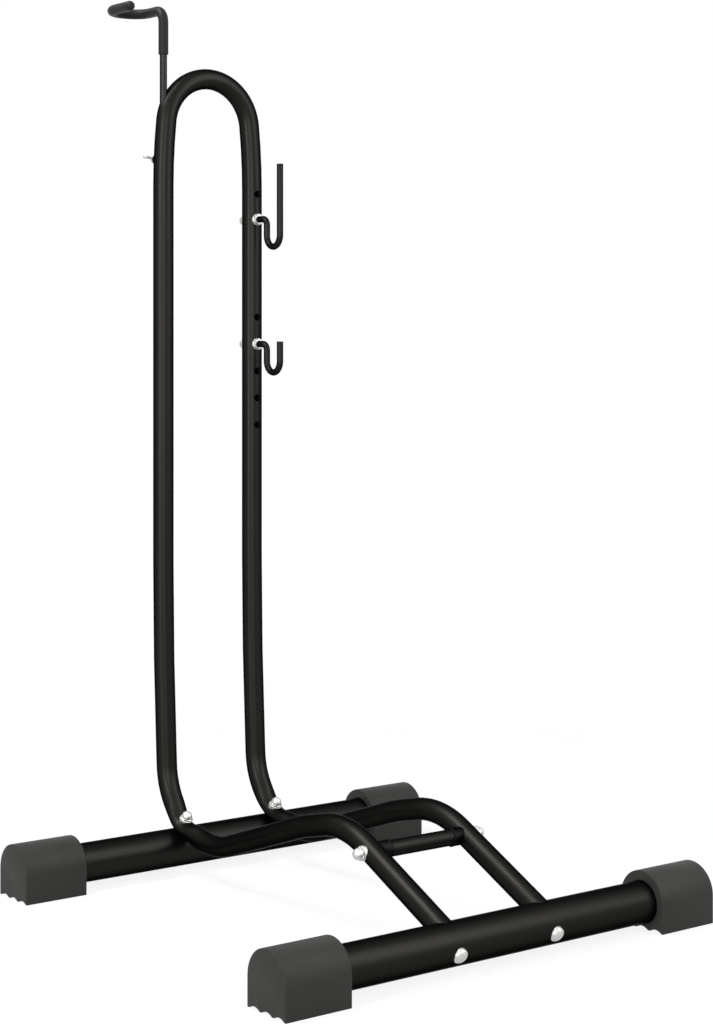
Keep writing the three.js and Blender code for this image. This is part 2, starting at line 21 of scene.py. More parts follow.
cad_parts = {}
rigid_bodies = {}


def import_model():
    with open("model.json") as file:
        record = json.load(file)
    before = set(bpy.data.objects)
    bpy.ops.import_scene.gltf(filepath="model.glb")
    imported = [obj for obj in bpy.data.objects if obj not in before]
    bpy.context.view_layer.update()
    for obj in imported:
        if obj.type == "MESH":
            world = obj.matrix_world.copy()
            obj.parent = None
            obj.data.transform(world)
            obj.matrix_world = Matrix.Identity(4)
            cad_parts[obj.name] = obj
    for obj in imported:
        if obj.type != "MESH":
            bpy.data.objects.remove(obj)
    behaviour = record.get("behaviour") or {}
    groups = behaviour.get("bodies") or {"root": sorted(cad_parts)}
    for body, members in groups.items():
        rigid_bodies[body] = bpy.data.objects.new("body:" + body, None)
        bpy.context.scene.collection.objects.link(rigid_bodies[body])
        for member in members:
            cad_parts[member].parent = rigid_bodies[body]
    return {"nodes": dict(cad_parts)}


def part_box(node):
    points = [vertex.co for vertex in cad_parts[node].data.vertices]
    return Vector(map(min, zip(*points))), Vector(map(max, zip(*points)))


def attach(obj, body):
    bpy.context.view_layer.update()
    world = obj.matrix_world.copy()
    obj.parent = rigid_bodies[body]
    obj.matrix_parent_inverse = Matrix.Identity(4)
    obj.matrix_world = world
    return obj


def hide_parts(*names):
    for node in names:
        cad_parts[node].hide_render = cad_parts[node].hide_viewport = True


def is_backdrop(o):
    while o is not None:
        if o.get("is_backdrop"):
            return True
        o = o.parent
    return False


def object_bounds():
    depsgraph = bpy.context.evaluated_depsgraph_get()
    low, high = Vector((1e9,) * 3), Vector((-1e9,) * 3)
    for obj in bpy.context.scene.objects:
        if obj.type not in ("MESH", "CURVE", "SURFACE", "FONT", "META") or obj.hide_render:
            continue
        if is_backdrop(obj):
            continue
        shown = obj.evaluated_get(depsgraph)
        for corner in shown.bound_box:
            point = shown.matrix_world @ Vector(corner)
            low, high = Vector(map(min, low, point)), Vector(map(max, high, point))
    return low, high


for startup_object in list(bpy.data.objects):
    bpy.data.objects.remove(startup_object)
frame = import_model()
solids_box = [list(corner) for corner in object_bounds()]
print("solids from", solids_box[0], "to", solids_box[1])

# %% [markdown]
# ## Sizes
#
# Tube makers work from a drawing in millimetres, and so does this notebook: one constant
# turns millimetres into metres. The places of the base tubes and of the legs are read
# from the frame's own solids, so that the pieces made here land exactly on them.

# %% Sizes shared by several pieces
mm = 0.001

X, Y, Z = Vector((1, 0, 0)), Vector((0, 1, 0)), Vector((0, 0, 1))


def middle(solid):
    """The middle of a solid's box."""
    low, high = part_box(solid)
    return (Vector(low) + Vector(high)) / 2


rear_axis = middle("rear_base_tube")
front_axis = middle("front_base_tube")
base_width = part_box("foot_front_right")[1][0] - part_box("foot_front_left")[0][0]
leg_y = middle("rod_guide").y
rail_x = -middle("rod_guide").x
sides = {"left": -1, "right": 1}

tube_radius = 14 * mm
tube_wall = 1.5 * mm
base_radius = 25.4 * mm
base_wall = 1.6 * mm
touch = 0.3 * mm  # stands for two faces that touch
bolt_radius = 4 * mm
bolt_hole = bolt_radius + 0.4 * mm
print("rear tube axis", rear_axis[:], "legs at x", rail_x, "y", leg_y)

# %% [markdown]
# ## The camera
#
# The photograph was taken from the left of the rack's front and a little above its
# middle, with the camera held level. A level camera keeps upright lines upright. The
# rack is framed below the horizon by sliding the picture on the sensor, which is what
# the lens shift does, and not by tilting the camera.

# %% Camera
camera_left, camera_ahead, camera_height = 1.5769, 2.4240, 0.7162
camera_turn = 36.684
camera_data = bpy.data.cameras.new("camera")
camera_data.sensor_width = 36
camera_data.lens = 73.907
camera_data.shift_y = -0.16697
camera_data.clip_end = 50
camera = bpy.data.objects.new("camera", camera_data)
bpy.context.scene.collection.objects.link(camera)
bpy.context.scene.camera = camera
camera.rotation_euler = (math.radians(90), 0, math.radians(-camera_turn))
camera.location = (-camera_left, rear_axis.y - camera_ahead, camera_height)
print("camera at", camera.location[:])
bpy.context.scene.view_settings.view_transform = "Standard"

# %% [markdown]
# ## Bending tube
#
# A tube bender pushes the tube forward for the straights and swings it round a former
# for the bends. Two bmesh operators do the same to a ring of edges: extruding the ring
# and moving the new one along makes a straight, and spin swings it round an axis for a
# bend. The drawing of a bent tube is then a short table of straights and bends.
#
# Swept curves could make the same shape, but they spread their rings without regard to
# where a bend starts. Here every ring sits where it is needed, so bends stay round and
# straights cost little.

# %% Place a tool


def place(origin, axis, side=X):
    """A matrix whose Z points along axis and whose X lies as near to side as it can."""
    z = Vector(axis).normalized()
    x = (Vector(side) - z * z.dot(Vector(side))).normalized()
    turn = Matrix((x, z.cross(x), z)).transposed().to_4x4()
    return Matrix.Translation(Vector(origin)) @ turn


print("a seat facing right:", place((0, 0, 0), X, Y).to_euler()[:])

# %% Tube bender


class Bender:
    """Makes the skin of a bent tube or bar, one straight or bend at a time."""

    def __init__(self, radius, start, axis, side=X, segments=48, step=3.0):
        self.mesh = bmesh.new()
        self.point = Vector(start)
        self.heading = Vector(axis).normalized()
        self.step = step  # degrees from ring to ring in a bend
        made = bmesh.ops.create_circle(self.mesh, segments=segments, radius=radius,
                                       matrix=place(start, axis, side))
        self.first = self.ring = made["verts"]

    def _edges(self):
        """The edges of the last ring."""
        ring = set(self.ring)
        return list({e for v in ring for e in v.link_edges if e.other_vert(v) in ring})

    def straight(self, length, parts=1):
        """Pushes the last ring forward."""
        for _ in range(parts):
            made = bmesh.ops.extrude_edge_only(self.mesh, edges=self._edges())
            self.ring = [v for v in made["geom"] if isinstance(v, bmesh.types.BMVert)]
            bmesh.ops.translate(self.mesh, verts=self.ring,
                                vec=self.heading * (length / parts))
        self.point = self.point + self.heading * length
        return self

    def bend(self, radius, degrees, axis):
        """Swings the last ring round the axis, or against it for negative degrees."""
        inward = axis.cross(self.heading) * math.copysign(radius, degrees)
        centre = self.point + inward
        steps = max(2, math.ceil(abs(degrees) / self.step))
        made = bmesh.ops.spin(self.mesh, geom=self.ring + self._edges(), cent=centre,
                              axis=axis, angle=math.radians(degrees), steps=steps)
        self.ring = [v for v in made["geom_last"] if isinstance(v, bmesh.types.BMVert)]
        turn = Matrix.Rotation(math.radians(degrees), 3, axis)
        self.point = centre + turn @ (self.point - centre)
        self.heading = turn @ self.heading
        return self

    def close(self, *rings):
        """Fills these rings and returns the mesh with its faces outwards."""
        for ring in rings:
            bmesh.ops.contextual_create(self.mesh, geom=ring)
        bmesh.ops.recalc_face_normals(self.mesh, faces=self.mesh.faces[:])
        return self.mesh


trial = Bender(tube_radius, (0, 0, 0), Z).bend(100 * mm, 90, Y)
print("a trial bend ends at", [round(v / mm) for v in trial.point], "mm")
trial.mesh.free()

# %% [markdown]
# ## Turning, cutting and rounding
#
# Nuts, bolt heads and collars are turned parts. A lathe takes half an outline and spins
# it, and so does the spin operator: with the first and last copies merged, the shape
# closes on itself. Normals are then recalculated, because a spun outline can come out
# with its faces inwards.
#
# Holes and hollowed seats are cut with the Boolean modifier. A bmesh can't hold a
# modifier, so the two meshes are put in objects for a moment and the result is read back.
# No real edge is perfectly sharp, and a bevel a fraction of a millimetre wide gives each
# edge the thin line of light that the eye expects.

# %% Lathe


def lathe(profile, seat, segments=48):
    """Turns an outline of (radius, height) points about the Z axis of seat."""
    mesh = bmesh.new()
    corners = [mesh.verts.new((radius, 0, height)) for radius, height in profile]
    lines = [mesh.edges.new(pair) for pair in zip(corners, corners[1:])]
    bmesh.ops.spin(mesh, geom=corners + lines, cent=(0, 0, 0), axis=(0, 0, 1),
                   angle=math.tau, steps=segments, use_merge=True)
    bmesh.ops.remove_doubles(mesh, verts=mesh.verts[:], dist=1e-6)
    bmesh.ops.recalc_face_normals(mesh, faces=mesh.faces[:])
    bmesh.ops.transform(mesh, matrix=seat, verts=mesh.verts[:])
    return mesh


print("lathe ready")

# %% Cutter


def boolean(body, tool, operation="DIFFERENCE"):
    """The closed mesh body, cut by or joined to the closed mesh tool."""
    made = []
    for mesh in (body, tool):
        data = bpy.data.meshes.new("bench")
        mesh.to_mesh(data)
        made.append(bpy.data.objects.new("bench", data))
        bpy.context.scene.collection.objects.link(made[-1])
    modifier = made[0].modifiers.new("cut", "BOOLEAN")
    modifier.object, modifier.operation, modifier.solver = made[1], operation, "EXACT"
    result = bmesh.new()
    result.from_object(made[0], bpy.context.evaluated_depsgraph_get())
    for bench in made:
        data = bench.data
        bpy.data.objects.remove(bench)
        bpy.data.meshes.remove(data)
    body.free()
    return result


print("cutter ready")

# %% Edge rounder and last touch


def soften(mesh, width, segments=3, angle=30):
    """Rounds every edge that turns by more than angle."""
    sharp = [e for e in mesh.edges
             if e.is_manifold and e.calc_face_angle() > math.radians(angle)]
    bmesh.ops.bevel(mesh, geom=sharp, offset=width, segments=segments, profile=0.5,
                    affect="EDGES", material=-1, clamp_overlap=True)
    return mesh


def finish(name, mesh, material, slot, body, *nodes, sharp=40):
    """Makes the mesh a piece of the rack that stands for its solids."""
    for face in mesh.faces:
        face.smooth = True
    for edge in mesh.edges:
        edge.smooth = edge.is_manifold and edge.calc_face_angle() < math.radians(sharp)
    data = bpy.data.meshes.new(name)
    mesh.to_mesh(data)
    mesh.free()
    data.materials.append(material)
    made = bpy.data.objects.new(name, data)
    bpy.context.scene.collection.objects.link(made)
    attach(made, body)
    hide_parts(*nodes)
    print(name, len(data.polygons), "faces")
    return made


print("edge rounder ready")

# %% [markdown]
# ## The powder coat
#
# Powder coat is a plastic skin baked on to the steel. It is smooth, but it never flows
# quite level: close up it has a faint orange-peel ripple a millimetre or so across, and
# it is a little duller where hands, dust and packing have rubbed it. The ripple is a
# noise texture read as a bump. The dulling is a second, larger noise that moves the
# roughness by a few hundredths and the black by a shade.
#
# A black plastic shader would be the plain choice, but its reflection grows to pure white
# at the outline of a tube, and in front of a white background every tube then gets a pale
# rim. Metal has a colour of its own for that angle, the specular tint, which is grey
# here. So the coat is written as a metal so dark that all of its colour is sheen.

# %% New materials


def grey(level):
    """A colour without a hue."""
    return (level, level, level, 1)


def new_material(name, **sockets):
    """A material whose shader has these plain values on its own sockets."""
    material = bpy.data.materials.new(name)
    material.use_nodes = True
    shader = material.node_tree.nodes["Principled BSDF"]
    for socket, value in sockets.items():
        shader.inputs[socket.replace("_", " ")].default_value = value
    return material


print("dark grey is written", grey(0.1))

# %% Nodes


def node(owner, kind, links=(), **settings):
    """Adds a node to a material or world. links holds (input, output socket) pairs."""
    made = owner.node_tree.nodes.new("ShaderNode" + kind)
    for name, value in settings.items():
        if hasattr(made, name):
            setattr(made, name, value)
        else:
            made.inputs[name.replace("_", " ")].default_value = value
    for name, output in links:
        owner.node_tree.links.new(made.inputs[name], output)
    return made


def connect(material, output, socket):
    """Links an output to a socket of the material's shader."""
    shader = material.node_tree.nodes["Principled BSDF"]
    material.node_tree.links.new(shader.inputs[socket], output)


print("node helpers ready")

# %% Patterns


def noise(material, coordinates, size, detail=2.0):
    """A noise texture whose blobs are about size metres across."""
    return node(material, "TexNoise", [("Vector", coordinates)], Scale=0.5 / size,
                Detail=detail).outputs["Fac"]


def tint(material, factor, first, second):
    """A colour between two, by a factor from 0 to 1."""
    made = node(material, "Mix", data_type="RGBA")
    amount, from_colour, to_colour = [s for s in made.inputs if s.enabled]
    from_colour.default_value, to_colour.default_value = (*first, 1), (*second, 1)
    material.node_tree.links.new(amount, factor)
    return next(s for s in made.outputs if s.enabled)


def vary(material, pattern, colours, roughness):
    """Lets a noise move the colour and the roughness between two values each."""
    connect(material, tint(material, pattern, *colours), "Base Color")
    # Nearly all of a noise lies between 0.35 and 0.65.
    rough = node(material, "MapRange", [("Value", pattern)], From_Min=0.35, From_Max=0.65,
                 To_Min=roughness[0], To_Max=roughness[1])
    connect(material, rough.outputs["Result"], "Roughness")


def emboss(material, pattern, depth):
    """Lets a pattern stand out of the surface by a depth in metres."""
    made = node(material, "Bump", [("Height", pattern)], Distance=depth, Strength=1.0)
    connect(material, made.outputs["Normal"], "Normal")


print("patterns ready")

# %% Powder coat
dark_rim = grey(0.32)
powder_coat = new_material("powder_coat", Metallic=1.0, Specular_Tint=dark_rim)
at_object = node(powder_coat, "TexCoord").outputs["Object"]
rubbed = noise(powder_coat, at_object, 60 * mm, 4)
vary(powder_coat, rubbed, roughness=(0.37, 0.43),
     colours=((0.0145, 0.0141, 0.0134), (0.0174, 0.0169, 0.0160)))
emboss(powder_coat, noise(powder_coat, at_object, 1.6 * mm), 0.002 * mm)
print("powder coat made")

# %% [markdown]
# ## Moulded feet, bright fasteners, rubber and nylon
#
# The feet are dull dark grey plastic. A moulding copies its tool, and tools for feet are
# spark-eroded to a fine even grain that hides scuffs, so the grain is a small noise in
# the bump, and the colour mottles very slightly.
#
# The nuts and bolt heads are zinc plated. Zinc is a metal, so all its colour is in its
# reflection. Tumbled in the plating barrel, it is satin and not chrome: a cloudy noise
# moves the colour and the roughness, and a very fine one scratches the surface.
#
# The sleeve on the top hook is soft rubber with a low sheen, and the collars and plugs
# are nylon, smooth with a slight sink. The rod inside the sleeve is only blackened, so
# its steel shows through as a dark grey with faint marks of the drawing die along it.

# %% Foot plastic
foot_plastic = new_material("foot_plastic", Specular_IOR_Level=0.16)
at_object = node(foot_plastic, "TexCoord").outputs["Object"]
mottle = noise(foot_plastic, at_object, 18 * mm, 5)
vary(foot_plastic, mottle, roughness=(0.50, 0.56),
     colours=((0.022, 0.0218, 0.0205), (0.026, 0.0257, 0.0242)))
emboss(foot_plastic, noise(foot_plastic, at_object, 0.7 * mm, 3), 0.03 * mm)
print("foot plastic made")

# %% Zinc plate
zinc = new_material("zinc", Metallic=1.0)
at_object = node(zinc, "TexCoord").outputs["Object"]
cloud = noise(zinc, at_object, 6 * mm, 4)
vary(zinc, cloud, roughness=(0.42, 0.50),
     colours=((0.48, 0.48, 0.47), (0.56, 0.56, 0.545)))
emboss(zinc, noise(zinc, at_object, 0.5 * mm, 6), 0.004 * mm)
print("zinc made")

# %% Rubber
rubber = new_material("rubber", Specular_IOR_Level=0.15)
at_object = node(rubber, "TexCoord").outputs["Object"]
bloom = noise(rubber, at_object, 14 * mm, 4)
vary(rubber, bloom, roughness=(0.44, 0.54),
     colours=((0.008, 0.008, 0.008), (0.011, 0.011, 0.0107)))
emboss(rubber, noise(rubber, at_object, 1.1 * mm, 3), 0.012 * mm)
print("rubber made")

# %% Nylon
nylon = new_material("nylon", Metallic=1.0, Specular_Tint=dark_rim)
sink = noise(nylon, node(nylon, "TexCoord").outputs["Object"], 9 * mm, 3)
vary(nylon, sink, roughness=(0.38, 0.48),
     colours=((0.0085, 0.0083, 0.0080), (0.0105, 0.0103, 0.0100)))
emboss(nylon, sink, 0.05 * mm)
print("nylon made")

# %% Blackened steel
black_steel = new_material("black_steel", Metallic=1.0, Specular_Tint=dark_rim)
at_object = node(black_steel, "TexCoord").outputs["Object"]
drawn = node(black_steel, "Mapping", [("Vector", at_object)], Scale=(1, 1, 0.04))
marks = noise(black_steel, drawn.outputs["Vector"], 0.8 * mm, 3)
vary(black_steel, marks, roughness=(0.34, 0.44),
     colours=((0.018, 0.018, 0.018), (0.027, 0.027, 0.027)))
emboss(black_steel, marks, 0.004 * mm)
print("blackened steel made")

# %% [markdown]
# ## The bent tube
#
# Hoop and rails are one length of 28 mm tube. Its drawing is symmetrical, so only half is
# bent here, from the top of the arch down the right leg to the rail's end, and the other
# half is its mirror image. The leg stands on a long, almost straight bow. The tight bend
# at its foot is the ankle, where the tube crosses the rear base tube. A wider bend in
# front of it cradles the tyre, and the rail then rises over a hump and runs down to the
# front base tube.
#
# The rail's end is cut to a fish mouth, so that it sits snugly on the round base tube.
# Each point of the last ring slides along the tube until it meets that surface, which is
# just what a notching cutter does.

# %% Bend table, from the top of the arch to the rail's end
arch_top = Vector((0, leg_y, 1079 * mm))
arch_radius, arch_angle = 68.38 * mm, 84
shoulder_radius, shoulder_angle = 857 * mm, 6
leg_length = 515.03 * mm
bow_radius, bow_angle = 4150 * mm, 3.6
ankle_lead = 14.01 * mm
ankle_radius, ankle_angle = 86 * mm, 58.9
cradle_radius, cradle_angle = 143.3 * mm, 46.2
rise_length = 157.13 * mm
brow_radius, brow_angle, brow_length = 310 * mm, 5.8, 30 * mm
crest_radius, crest_angle = 130 * mm, 37.8
fall_length, mouth_length = 126.38 * mm, 40 * mm
print("the rail leaves the cradle at",
      round(bow_angle + ankle_angle + cradle_angle - 90, 1), "degrees")

# %% Bend it
dent_step = 2  # degrees from ring to ring where the nut's dent will be


def bend_frame_tube(radius, segments=64, step=2.5):
    """The skin of the right half, from the top of the arch to the end of the rail."""
    tube = Bender(radius, arch_top, X, side=Y, segments=segments, step=step)
    tube.bend(arch_radius, arch_angle, Y)
    tube.bend(shoulder_radius, shoulder_angle, Y)
    tube.straight(leg_length, parts=40)
    tube.bend(bow_radius, bow_angle, -X)
    tube.straight(ankle_lead)
    tube.step = dent_step
    tube.bend(ankle_radius, ankle_angle, -X)
    tube.bend(cradle_radius, cradle_angle, -X)
    tube.step = step
    tube.straight(rise_length, parts=5)
    tube.bend(brow_radius, -brow_angle, -X)
    tube.straight(brow_length, parts=2)
    tube.bend(crest_radius, -crest_angle, -X)
    tube.straight(fall_length, parts=9)
    tube.straight(mouth_length)
    return tube


half_tube = bend_frame_tube(tube_radius)
rail_heading, rail_end = half_tube.heading.copy(), half_tube.point.copy()
print("rail ends at", rail_end[:], "heading", rail_heading[:])

# %% Notch and mirror it
rail_setback = 8 * mm


def notch(tube):
    """Slides the points of the last ring back along the tube on to the base tube."""
    reach = base_radius + touch
    for point in tube.ring:
        across = (point.co - front_axis).dot(X.cross(tube.heading))
        along = (point.co - front_axis).dot(tube.heading)
        depth = math.sqrt(max(0, reach ** 2 - across ** 2))
        point.co += tube.heading * (-max(depth, rail_setback) - along)


def mirrored(mesh):
    """The mesh and its mirror image, joined where they meet at x = 0."""
    bmesh.ops.mirror(mesh, geom=mesh.verts[:] + mesh.edges[:] + mesh.faces[:],
                     matrix=Matrix.Identity(4), merge_dist=1e-6, axis="X")
    bmesh.ops.remove_doubles(mesh, verts=mesh.verts[:], dist=1e-6)
    bmesh.ops.recalc_face_normals(mesh, faces=mesh.faces[:])
    return mesh


notch(half_tube)
frame_skin = mirrored(half_tube.mesh)
print("whole skin", len(frame_skin.faces), "faces")

# %% [markdown]
# ## Pressing and drilling the tube
#
# At each ankle the inside of the tube is pressed in, so that the cap nut sits low and on
# a broad seat. A press moves metal most in the middle and less and less towards the ends
# of the dent, and the tube swells a little sideways. The points of the skin are moved in
# the same way: the push fades along the tube and across its height.
#
# The wall then gets its thickness inwards from the skin, and the holes are drilled: one at
# each ankle for the bolt from below, one across each rail for the rod of the cross bar,
# a row down the right leg in which the J hooks can be moved, one at the back of the left
# leg for the clamp, and a steep one in the shoulder where the hook's rod comes out.

# %% Places of the bolts and holes
saddle_tilt = math.radians(27.5)
saddle_up = Vector((0, -math.sin(saddle_tilt), math.cos(saddle_tilt)))
saddle_reach = base_radius + touch + tube_radius
saddle = rear_axis + X * rail_x + saddle_up * saddle_reach
cross_axis = Vector((0, *middle("cross_bar")[1:]))
clamp_height = 965 * mm
hook_heights = {"upper": 886.5 * mm, "lower": 712 * mm}
hole_pitch = 37.7 * mm
top_hole_rise = 0.94 * hole_pitch
hole_heights = [hook_heights["upper"] + top_hole_rise, hook_heights["upper"]]
hole_heights += [hook_heights["lower"] + step * hole_pitch for step in (1, 0, -1, -2, -3)]
print("holes in the right leg at", [round(h / mm, 1) for h in hole_heights])

# %% Press the ankles
dent_depth, dent_reach, dent_spread = 8 * mm, 34 * mm, 0.1
press_width = 1.5 * tube_radius  # keeps the press off the rest of the rack


def press(mesh):
    """Presses the inside of both ankles in and keeps the side on the base tube."""
    bore_radius = tube_radius - tube_wall
    for point in mesh.verts:
        offset = Vector((abs(point.co.x), point.co.y, point.co.z)) - saddle
        along = offset.dot(saddle_up.cross(X))
        bend_radius = ankle_radius if along < 0 else cradle_radius
        height = offset.dot(saddle_up) - along ** 2 / (2 * bend_radius)
        if abs(along) < dent_reach and max(abs(offset.x), abs(height)) < press_width:
            push = math.cos(math.pi / 2 * along / dent_reach) ** 2
            share = min(max((height + bore_radius) / (2 * bore_radius), 0), 1)
            point.co.x += math.copysign(offset.x * dent_spread * push, point.co.x)
            point.co -= saddle_up * dent_depth * push * share
    return mesh


pressed_skin = press(frame_skin)
print("dents of", dent_depth / mm, "mm at", saddle[:])

# %% Drill the frame tube


def drill(tool, origin, axis, radius, low, high):
    """Adds a drill to the tool: a cylinder from low to high along axis."""
    seat = place(origin, axis) @ Matrix.Translation((0, 0, (low + high) / 2))
    bmesh.ops.create_cone(tool, cap_ends=True, segments=32, radius1=radius, radius2=radius,
                          depth=high - low, matrix=seat)


def wall(mesh, thickness):
    """Gives an open skin a wall of that thickness, inside it."""
    bmesh.ops.solidify(mesh, geom=mesh.faces[:], thickness=thickness)
    return mesh


through = tube_radius * 1.6
hook_hole, rod_hole, rod_hole_length = 5 * mm, 5.4 * mm, 110 * mm
drills = bmesh.new()
for side in sides.values():
    across = X * side * rail_x
    drill(drills, rear_axis + across, saddle_up, bolt_hole, base_radius,
          saddle_reach + through)
    drill(drills, cross_axis + across, X, bolt_hole, -through, through)
for height in hole_heights:
    drill(drills, (rail_x, leg_y, height), Y, hook_hole, -through, through)
drill(drills, (-rail_x, leg_y, clamp_height), Y, bolt_hole, 0, through)
drill(drills, (-rail_x, leg_y, clamp_height), Z, rod_hole, 0, rod_hole_length)
bent_tube = boolean(wall(pressed_skin, tube_wall), drills)
drills.free()
finish("bent_tube", bent_tube, powder_coat, "powder_coat", "stand", "upright_frame")

# %% [markdown]
# ## Base tubes
#
# The two tubes on the floor are plain two-inch tube, cut square. The bender draws them
# too, as one straight, so that all the tube here has the same kind of skin and wall. Only
# their bolt holes need care: each hole runs square to the piece that it bolts down. The
# front holes aim at the plug inside the rail's end, so they slope.

# %% Places on the base tubes
foot_end_wall = 6 * mm
foot_length = 87 * mm
base_half = base_width / 2 - foot_end_wall - touch
seat_drop = math.radians(17)
seat_way = Vector((0, -math.cos(seat_drop), -math.sin(seat_drop)))
front_seat = front_axis + seat_way * base_radius
plug_depth = 31 * mm
plug_middle = (rail_end - rail_heading * plug_depth) * Vector((0, 1, 1))
bolt_out = (front_seat - plug_middle).normalized()
print("front bolts slope by", round(math.degrees(math.asin(bolt_out.z)), 1), "degrees")

# %% Base tubes


def base_skin(axis, radius=base_radius):
    """The open skin of a base tube."""
    skin = Bender(radius, axis - X * base_half, X, side=Y, segments=96)
    return skin.straight(2 * base_half, parts=60)


def base_tube(row, axis, holes):
    """A base tube with holes given as (origin, axis, low, high)."""
    drills = bmesh.new()
    for origin, along, low, high in holes:
        drill(drills, origin, along, bolt_hole, low, high)
    mesh = boolean(wall(base_skin(axis).mesh, base_wall), drills)
    drills.free()
    finish(f"{row}_floor_tube", mesh, powder_coat, "powder_coat", "stand",
           f"{row}_base_tube")


base_tube("rear", rear_axis,
          [(rear_axis + X * side * rail_x, saddle_up, -2 * base_radius, 2 * base_radius)
           for side in sides.values()])
base_tube("front", front_axis,
          [(front_seat + X * side * rail_x, bolt_out, -3 * base_radius, base_radius)
           for side in sides.values()])

# %% [markdown]
# ## Feet
#
# A foot is a block with a half-round back, pushed over the tube's end like a cap. Its
# sole has three shallow grooves that leave narrow strips to stand on, so it grips
# without rocking. The outline is drawn as with a pen: a vertex is carried along straight
# lines and swung round arcs, and the closed outline is then pushed out into a block.
# Cubes and cylinders could be joined to the same shape, but an outline keeps its grooves
# and its back free of seams.

# %% Pen


class Pen:
    """Draws an outline in a bmesh by carrying one vertex along."""

    def __init__(self, mesh, start):
        self.mesh, self.tip = mesh, mesh.verts.new(start)
        self.start = self.tip

    def line(self, to):
        tip = self.mesh.verts.new(to)
        self.mesh.edges.new((self.tip, tip))
        self.tip = tip
        return self

    def arc(self, centre, degrees, axis=X, steps=24):
        made = bmesh.ops.spin(self.mesh, geom=[self.tip], cent=centre, axis=axis,
                              angle=math.radians(degrees), steps=steps)
        self.tip = next(v for v in made["geom_last"] if isinstance(v, bmesh.types.BMVert))
        return self

    def push(self, path):
        """Closes the outline, fills it and pushes the face along path into a block."""
        self.mesh.edges.new((self.tip, self.start))
        made = bmesh.ops.contextual_create(self.mesh, geom=self.mesh.edges[:])
        made = bmesh.ops.extrude_face_region(self.mesh, geom=made["faces"])
        far = [v for v in made["geom"] if isinstance(v, bmesh.types.BMVert)]
        bmesh.ops.translate(self.mesh, verts=far, vec=path)
        bmesh.ops.recalc_face_normals(self.mesh, faces=self.mesh.faces[:])
        return self.mesh


print("pen ready")

# %% Outline of a foot
foot_half = 36.5 * mm
foot_height = 70.4 * mm
land, groove_rise, grooves = 3 * mm, 3.2 * mm, 3
groove = (2 * foot_half - land * (grooves + 1)) / grooves
groove_radius = (groove ** 2 / 4 + groove_rise ** 2) / (2 * groove_rise)
groove_sweep = 2 * math.degrees(math.asin(groove / 2 / groove_radius))


def foot_block(x, y, inward):
    """The foot's outline drawn in its end plane and pushed towards the tube."""
    def at(across, up):
        return Vector((x, y + across, up))

    pen = Pen(bmesh.new(), at(foot_half, 0)).line(at(foot_half, foot_height - foot_half))
    pen.arc(at(0, foot_height - foot_half), 180, steps=48).line(at(-foot_half, 0))
    for i in range(grooves):
        left = -foot_half + land + i * (groove + land)
        pen.line(at(left, 0))
        pen.arc(at(left + groove / 2, groove_rise - groove_radius), -groove_sweep, steps=14)
    return pen.push(X * inward * foot_length)


print("grooves", round(groove / mm, 1), "mm wide and", groove_rise / mm, "mm deep")

# %% Feet
foot_edge = 0.9 * mm
socket_play, socket_rim = 0.15 * mm, 1.2 * mm


def foot(row, side_name):
    """A foot over one end of a base tube, with its socket cut out."""
    side, axis = sides[side_name], middle(f"{row}_base_tube")
    x = side * base_width / 2
    block = soften(foot_block(x, axis.y, -side), foot_edge, angle=50)
    fit, mouth = base_radius + socket_play, foot_length + socket_rim
    socket = lathe([(0, foot_end_wall), (fit, foot_end_wall),
                    (fit, foot_length - socket_rim), (fit + 2 * socket_rim, mouth),
                    (0, mouth)],
                   place((x, axis.y, axis.z), -X * side, Y), segments=96)
    block = boolean(block, socket)
    finish(f"foot_cap_{row}_{side_name}", block, foot_plastic, "foot_moulding", "stand",
           f"foot_{row}_{side_name}")


for row in ("rear", "front"):
    for side_name in sides:
        foot(row, side_name)

# %% [markdown]
# ## Nuts and bolts
#
# A cap nut is a hexagon with its corners turned off, under a dome that hides the bolt's
# end. Under it a thin washer is pressed to the tube's curve. The bolts have low round
# heads with nothing to grip, and their undersides follow the tube too. Both are cut with
# a slightly swollen copy of the tube that they sit on, so the fit is right even on a bend.

# %% Tools that hollow the seats
seat_gap = 0.06 * mm
swollen = bend_frame_tube(tube_radius + seat_gap, step=5)
bmesh.ops.contextual_create(swollen.mesh, geom=swollen.ring)
around_frame = press(mirrored(swollen.mesh))


def around_base(axis):
    """A bar that fills a base tube and stands out of it by the seat's gap."""
    bar = base_skin(axis, base_radius + seat_gap)
    return bar.close(bar.first, bar.ring)


print("seat tool", len(around_frame.faces), "faces")

# %% Dome


def dome(rim, base, height, steps=12):
    """Outline of a dome from its rim at base to its top on the axis."""
    radius = (rim ** 2 + height ** 2) / (2 * height)
    half = math.asin(min(1, rim / radius))
    sweep = math.pi - half if height > radius else half
    angles = [sweep * (1 - i / steps) for i in range(steps)]
    return [(radius * math.sin(a), base + height - radius + radius * math.cos(a))
            for a in angles] + [(0, base + height)]


print("a dome's outline has", len(dome(7 * mm, 0, 5 * mm)), "points")

# %% Hexagon and bore


def hexagon(seat, across_flats, low, high, chamfer, both_ends=False):
    """A nut's hexagon with its corners turned off at a slant."""
    corner = across_flats / 2 / math.cos(math.radians(30))
    mesh = bmesh.new()
    bmesh.ops.create_cone(mesh, cap_ends=True, segments=6, radius1=corner, radius2=corner,
                          depth=high - low,
                          matrix=seat @ Matrix.Translation((0, 0, (low + high) / 2)))
    # The slant ends just inside the flats at the face and just outside the corners.
    face, slant = across_flats / 2 * 0.97, corner * 1.02
    foot_of = [(face, low), (slant, low + chamfer)] if both_ends else [(slant, low)]
    blank = lathe([(0, low), *foot_of, (slant, high - chamfer), (face, high), (0, high)],
                  seat)
    mesh = boolean(mesh, blank, "INTERSECT")
    blank.free()
    return mesh


